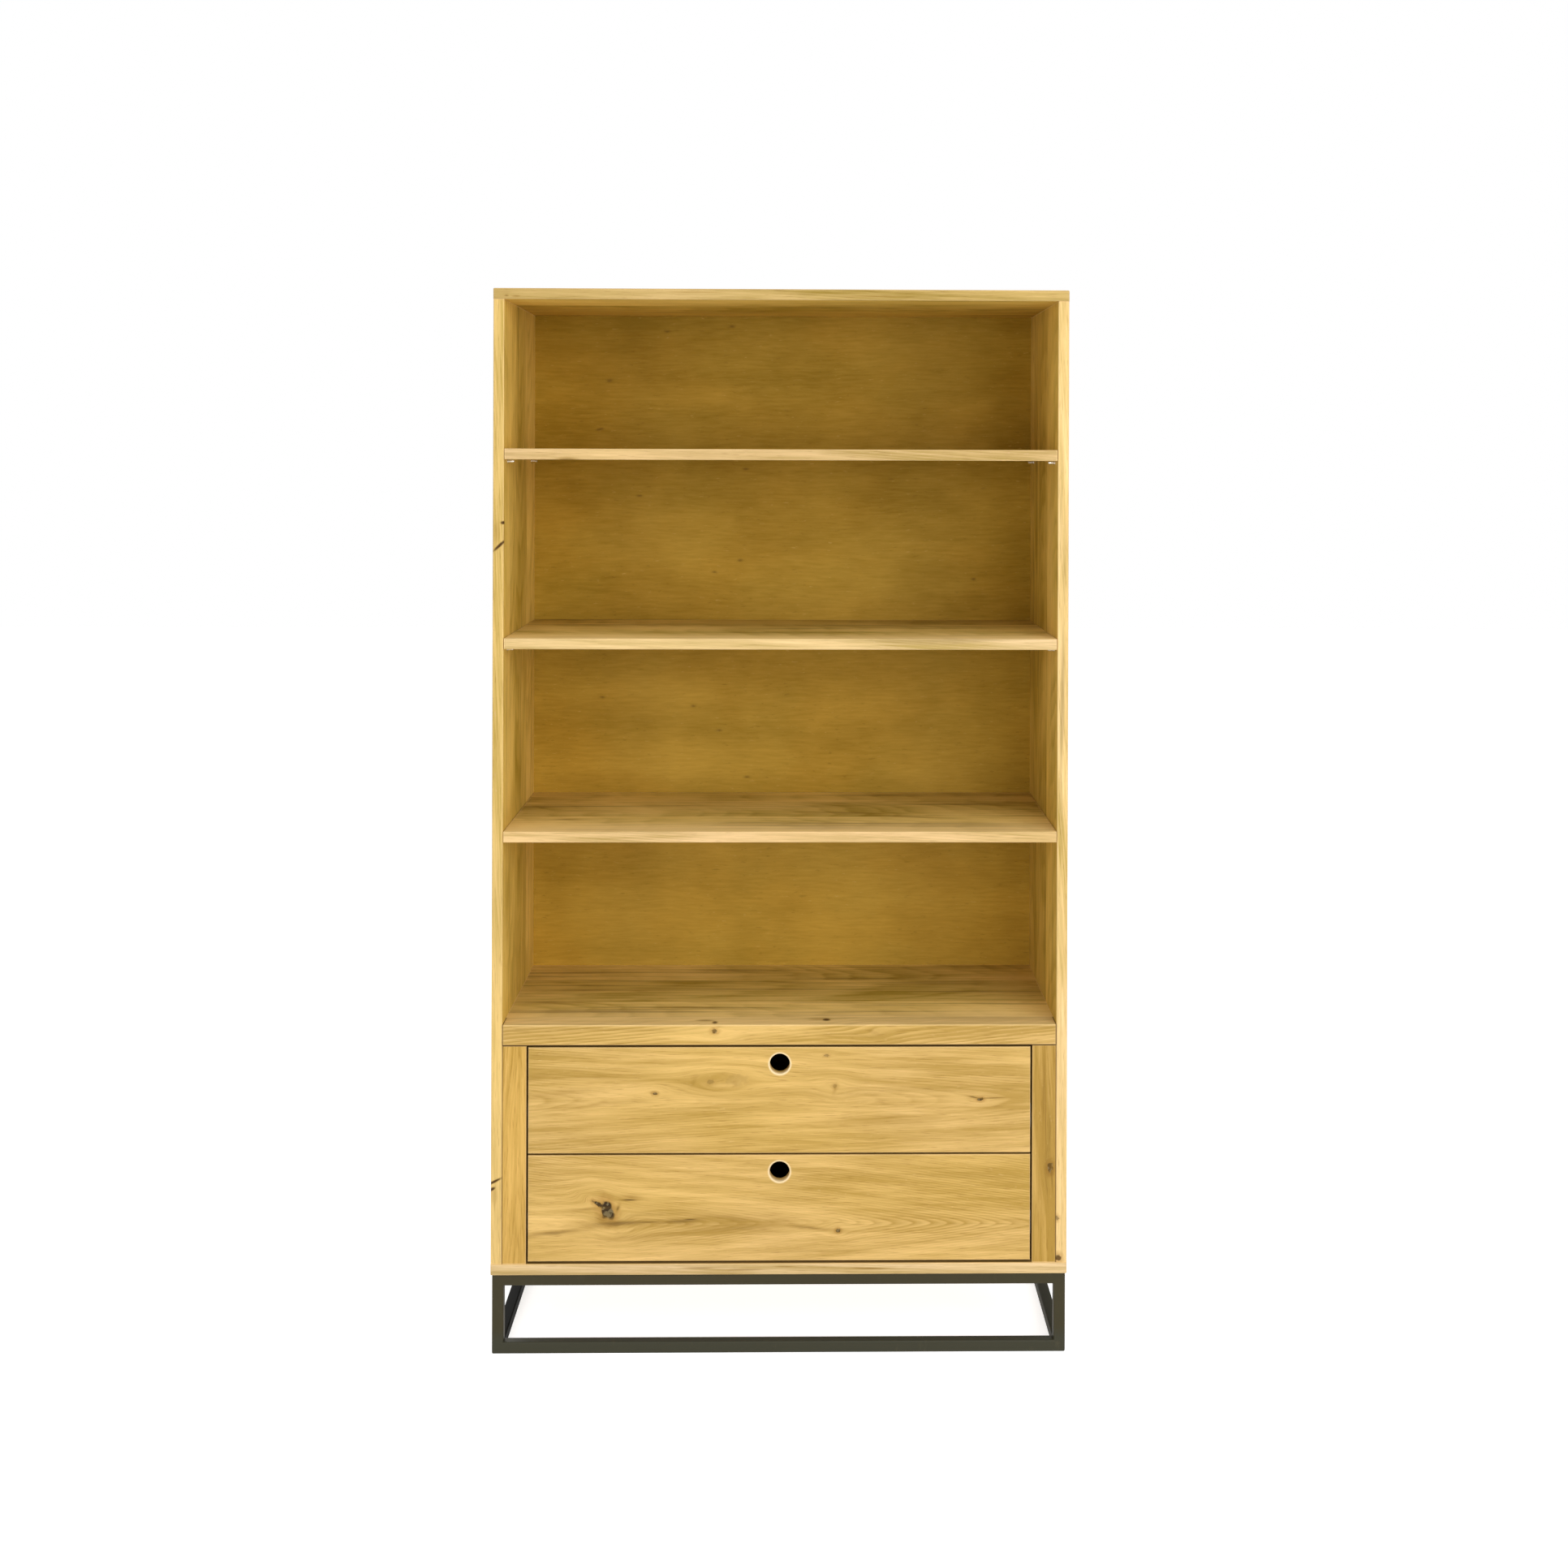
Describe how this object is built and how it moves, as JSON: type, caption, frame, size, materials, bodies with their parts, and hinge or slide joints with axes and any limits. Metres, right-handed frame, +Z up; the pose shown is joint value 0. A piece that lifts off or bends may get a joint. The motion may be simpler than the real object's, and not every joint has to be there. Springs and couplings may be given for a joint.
{
  "type": "bookcase with bottom drawers",
  "caption": "Open oak bookcase with loose shelves on pins above inset drawers with finger holes, on a square-tube steel base.",
  "frame": {"origin": "on the floor, in the middle of the carcass's footprint", "axes": "+Z up, +X to the right of someone who faces the bookcase, +Y to its back"},
  "size_m": [1, 0.4, 1.848],
  "materials": {
    "oak": "oiled solid oak, light and slightly yellow",
    "plywood": "oak-faced plywood, oiled, a little darker",
    "drawer_box": "planed oak, waxed",
    "dowel_beech": "fluted beech dowel",
    "base_steel": "dark graphite powder coat, fine and matt",
    "runner_zinc": "bright zinc on rolled sheet steel",
    "cage_steel": "plain sheet steel with hardened balls",
    "pin_nickel": "bright nickel plate",
    "screw_zinc": "zinc-plated steel"
  },
  "bodies": {
    "carcass": {"back_panel": "plywood", "base_leg_front_left": "base_steel", "base_leg_front_right": "base_steel", "base_leg_rear_left": "base_steel", "base_leg_rear_right": "base_steel", "base_rail_front_bottom": "base_steel", "base_rail_front_top": "base_steel", "base_rail_rear_bottom": "base_steel", "base_rail_rear_top": "base_steel", "base_screws": "screw_zinc", "base_tube_left_bottom": "base_steel", "base_tube_left_top": "base_steel", "base_tube_right_bottom": "base_steel", "base_tube_right_top": "base_steel", "bottom_panel": "oak", "carcass_dowels": "dowel_beech", "carcass_screws": "screw_zinc", "deck_panel": "oak", "deck_rail": "oak", "lower_runner_outer_left": "runner_zinc", "lower_runner_outer_right": "runner_zinc", "runner_wall_left": "oak", "runner_wall_right": "oak", "shelf_lower": "oak", "shelf_middle": "oak", "shelf_pins": "pin_nickel", "shelf_upper": "oak", "side_panel_left": "oak", "side_panel_right": "oak", "stile_left": "oak", "stile_right": "oak", "top_panel": "oak", "upper_runner_outer_left": "runner_zinc", "upper_runner_outer_right": "runner_zinc"},
    "lower_drawer": {"lower_drawer_front": "oak", "lower_drawer_back": "drawer_box", "lower_drawer_floor": "plywood", "lower_drawer_screws": "screw_zinc", "lower_drawer_side_left": "drawer_box", "lower_drawer_side_right": "drawer_box", "lower_runner_inner_left": "runner_zinc", "lower_runner_inner_right": "runner_zinc"},
    "lower_middles": {"lower_runner_middle_left": "runner_zinc", "lower_runner_middle_right": "runner_zinc"},
    "lower_outer_cages": {"lower_outer_cages": "cage_steel"},
    "lower_inner_cages": {"lower_inner_cages": "cage_steel"},
    "upper_drawer": {"upper_drawer_front": "oak", "upper_drawer_back": "drawer_box", "upper_drawer_floor": "plywood", "upper_drawer_screws": "screw_zinc", "upper_drawer_side_left": "drawer_box", "upper_drawer_side_right": "drawer_box", "upper_runner_inner_left": "runner_zinc", "upper_runner_inner_right": "runner_zinc"},
    "upper_middles": {"upper_runner_middle_left": "runner_zinc", "upper_runner_middle_right": "runner_zinc"},
    "upper_outer_cages": {"upper_outer_cages": "cage_steel"},
    "upper_inner_cages": {"upper_inner_cages": "cage_steel"}
  },
  "joints": [
    {"name": "lower_drawer_slide", "type": "slide", "parent": "carcass", "child": "lower_drawer", "axis": [0, -1, 0], "range_m": [0, 0.34]},
    {"name": "lower_middles_slide", "type": "slide", "parent": "carcass", "child": "lower_middles", "axis": [0, -1, 0], "range_m": [0, 0.171]},
    {"name": "lower_outer_cages_slide", "type": "slide", "parent": "carcass", "child": "lower_outer_cages", "axis": [0, -1, 0], "range_m": [0, 0.086]},
    {"name": "lower_inner_cages_slide", "type": "slide", "parent": "carcass", "child": "lower_inner_cages", "axis": [0, -1, 0], "range_m": [0, 0.256]},
    {"name": "upper_drawer_slide", "type": "slide", "parent": "carcass", "child": "upper_drawer", "axis": [0, -1, 0], "range_m": [0, 0.34]},
    {"name": "upper_middles_slide", "type": "slide", "parent": "carcass", "child": "upper_middles", "axis": [0, -1, 0], "range_m": [0, 0.171]},
    {"name": "upper_outer_cages_slide", "type": "slide", "parent": "carcass", "child": "upper_outer_cages", "axis": [0, -1, 0], "range_m": [0, 0.086]},
    {"name": "upper_inner_cages_slide", "type": "slide", "parent": "carcass", "child": "upper_inner_cages", "axis": [0, -1, 0], "range_m": [0, 0.256]}
  ],
  "couplings": [
    {"joint": "lower_middles_slide", "follows": "lower_drawer_slide", "ratio": 0.5},
    {"joint": "lower_outer_cages_slide", "follows": "lower_drawer_slide", "ratio": 0.25},
    {"joint": "lower_inner_cages_slide", "follows": "lower_drawer_slide", "ratio": 0.75},
    {"joint": "upper_middles_slide", "follows": "upper_drawer_slide", "ratio": 0.5},
    {"joint": "upper_outer_cages_slide", "follows": "upper_drawer_slide", "ratio": 0.25},
    {"joint": "upper_inner_cages_slide", "follows": "upper_drawer_slide", "ratio": 0.75}
  ]
}
